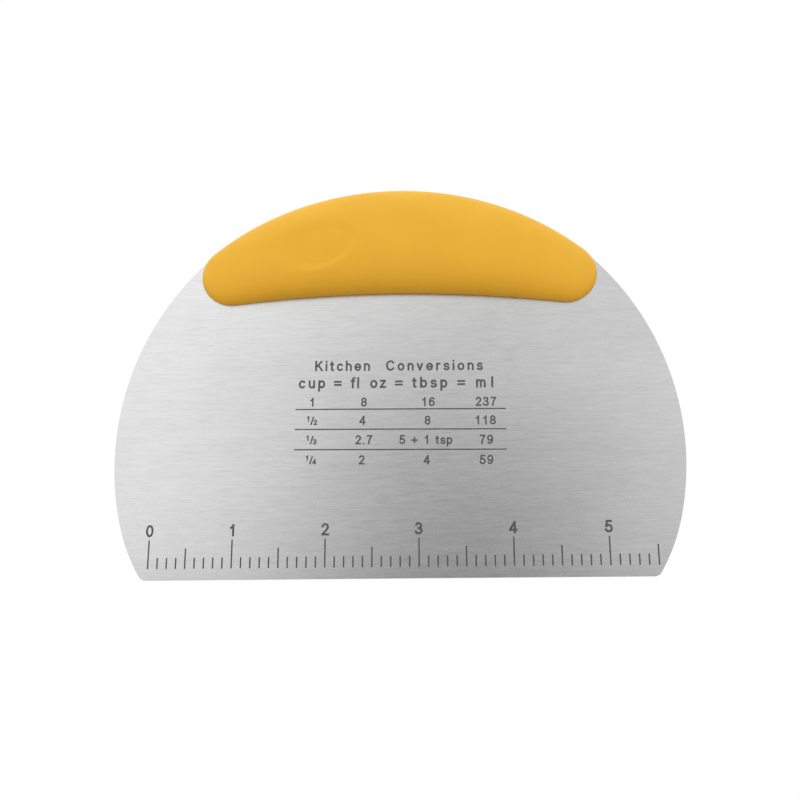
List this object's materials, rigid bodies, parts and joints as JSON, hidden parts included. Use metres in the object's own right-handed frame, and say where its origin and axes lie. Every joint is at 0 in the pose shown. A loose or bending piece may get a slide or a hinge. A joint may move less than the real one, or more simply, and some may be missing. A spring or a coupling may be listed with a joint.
{
  "type": "bench scraper",
  "caption": "Round-backed steel dough scraper with a straight working edge, a printed ruler and measure table, and an arched soft grip along its top.",
  "frame": {"origin": "middle of the working edge, on the blade's mid-plane, at the lowest point of the tool", "axes": "+X along the working edge, in the direction in which the ruler counts up; -Y out of the printed face; +Z from the working edge up to the grip"},
  "size_m": [0.1576, 0.0176, 0.1123],
  "materials": {
    "blade_steel": "stainless steel, fine brushed grain along the working edge, dark laser-marked ruler and table",
    "core_plastic": "natural moulded polypropylene, hidden inside the grip",
    "rivet_metal": "plain drawn aluminium",
    "soft_skin": "soft-touch thermoplastic elastomer, warm yellow, very matt"
  },
  "bodies": {
    "root": {"blade": "blade_steel", "core_front": "core_plastic", "core_back": "core_plastic", "rivet_left": "rivet_metal", "rivet_centre": "rivet_metal", "rivet_right": "rivet_metal", "grip_skin": "soft_skin"}
  },
  "joints": []
}
